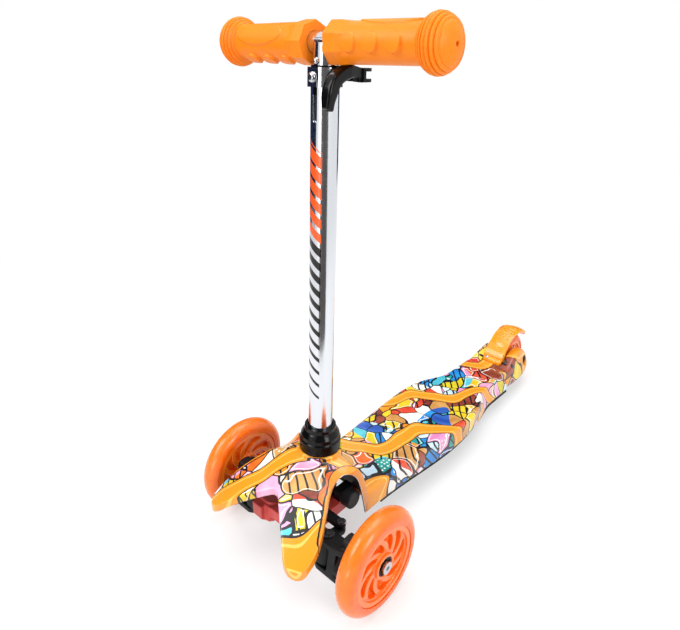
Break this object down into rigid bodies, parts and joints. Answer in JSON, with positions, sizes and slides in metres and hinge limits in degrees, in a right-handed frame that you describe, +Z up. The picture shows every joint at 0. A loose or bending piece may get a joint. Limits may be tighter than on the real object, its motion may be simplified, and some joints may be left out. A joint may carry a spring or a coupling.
{
  "type": "kick scooter",
  "caption": "Children's lean-to-steer kick scooter with two wheels in front, one behind, a telescoping T-bar with quick-release clamp and a fender brake.",
  "frame": {"origin": "on the floor, in the middle plane, midway between the nose and the back of the rear wheel", "axes": "+Z up, riding direction -Y, +X to the rider's left"},
  "size_m": [0.296, 0.627, 0.6115],
  "materials": {
    "printed_shell": "moulded plastic with an all-over multicoloured film print",
    "red_nylon": "moulded, satin",
    "black_rubber": "moulded, matt",
    "black_plastic": "moulded, fine grain",
    "polished_aluminium": "polished",
    "orange_rubber": "moulded, satin",
    "amber_plastic": "translucent moulding",
    "orange_tyre": "translucent cast urethane",
    "orange_hub": "moulded, glossy",
    "steel": "zinc-plated"
  },
  "bodies": {
    "chassis": {"front_housing": "printed_shell", "steering_cradle": "red_nylon", "stem_bolt": "steel", "stem_nut": "steel", "rubber_buffers": "black_rubber", "left_kingpin": "steel", "right_kingpin": "steel", "base_ring": "black_plastic", "lower_tube": "polished_aluminium", "tube_bush": "black_plastic", "clamp_collar": "polished_aluminium", "guide_screw": "steel", "clamp_bolt": "steel", "clamp_nut": "steel", "cam_washer": "black_plastic", "barrel_pin": "steel", "deck_shell": "printed_shell", "deck_base": "black_plastic", "deck_screws": "steel", "rear_fork": "printed_shell", "rear_axle_bolt": "steel", "rear_axle_nut": "steel", "fender_pin": "steel", "brake_spring": "steel"},
    "left_knuckle": {"left_knuckle": "black_plastic", "left_tie_pin": "steel", "left_axle_bolt": "steel", "left_axle_nut": "steel"},
    "right_knuckle": {"right_knuckle": "black_plastic", "right_tie_pin": "steel", "right_axle_bolt": "steel", "right_axle_nut": "steel"},
    "tie_rod": {"tie_rod": "black_plastic"},
    "left_wheel": {"left_wheel_tyre": "orange_tyre", "left_wheel_hub": "orange_hub", "left_wheel_bearings": "steel", "left_wheel_bearing_spacer": "steel"},
    "right_wheel": {"right_wheel_tyre": "orange_tyre", "right_wheel_hub": "orange_hub", "right_wheel_bearings": "steel", "right_wheel_bearing_spacer": "steel"},
    "rear_wheel": {"rear_wheel_tyre": "orange_tyre", "rear_wheel_hub": "orange_hub", "rear_wheel_bearings": "steel", "rear_wheel_bearing_spacer": "steel"},
    "brake": {"brake_fender": "amber_plastic"},
    "clamp_lever": {"clamp_lever": "black_plastic"},
    "handlebar": {"upper_tube": "polished_aluminium", "slide_bush": "black_plastic", "cross_tube": "polished_aluminium", "left_grip": "orange_rubber", "right_grip": "orange_rubber"},
    "snap_button": {"snap_button": "steel", "button_spring": "steel"}
  },
  "joints": [
    {"name": "left_steer", "type": "hinge", "parent": "chassis", "child": "left_knuckle", "pos_m": [0.062, -0.2545, 0.055], "axis": [0, 0.2079, 0.9781], "range_deg": [-15, 15], "stiffness_Nm_per_rad": 8},
    {"name": "right_steer", "type": "hinge", "parent": "chassis", "child": "right_knuckle", "pos_m": [-0.062, -0.2545, 0.055], "axis": [0, 0.2079, 0.9781], "range_deg": [-15, 15], "stiffness_Nm_per_rad": 8},
    {"name": "tie_rod_shift", "type": "slide", "parent": "chassis", "child": "tie_rod", "axis": [1, 0, 0], "range_m": [-0.0055, 0.0055]},
    {"name": "left_wheel_spin", "type": "hinge", "parent": "left_knuckle", "child": "left_wheel", "pos_m": [0.115, -0.2305, 0.06], "axis": [1, 0, 0], "continuous": true},
    {"name": "right_wheel_spin", "type": "hinge", "parent": "right_knuckle", "child": "right_wheel", "pos_m": [-0.115, -0.2305, 0.06], "axis": [1, 0, 0], "continuous": true},
    {"name": "rear_wheel_spin", "type": "hinge", "parent": "chassis", "child": "rear_wheel", "pos_m": [0, 0.2735, 0.04], "axis": [1, 0, 0], "continuous": true},
    {"name": "brake_press", "type": "hinge", "parent": "chassis", "child": "brake", "pos_m": [0, 0.2215, 0.05], "axis": [-1, 0, 0], "range_deg": [0, 4], "stiffness_Nm_per_rad": 1.5, "springref_deg": -20.05},
    {"name": "lever_open", "type": "hinge", "parent": "chassis", "child": "clamp_lever", "pos_m": [0.026, -0.14938, 0.55252], "axis": [0, 0.0593, 0.9982], "range_deg": [0, 100]},
    {"name": "handlebar_slide", "type": "slide", "parent": "chassis", "child": "handlebar", "axis": [0, 0.0593, 0.9982], "range_m": [0, 0.12]},
    {"name": "button_press", "type": "slide", "parent": "handlebar", "child": "snap_button", "axis": [0, 0.9982, -0.0593], "range_m": [0, 0.003], "stiffness_N_per_m": 400, "springref_m": -0.003}
  ],
  "couplings": [
    {"joint": "right_steer", "follows": "left_steer", "ratio": 1},
    {"joint": "tie_rod_shift", "follows": "left_steer", "m_per_rad": -0.02}
  ]
}
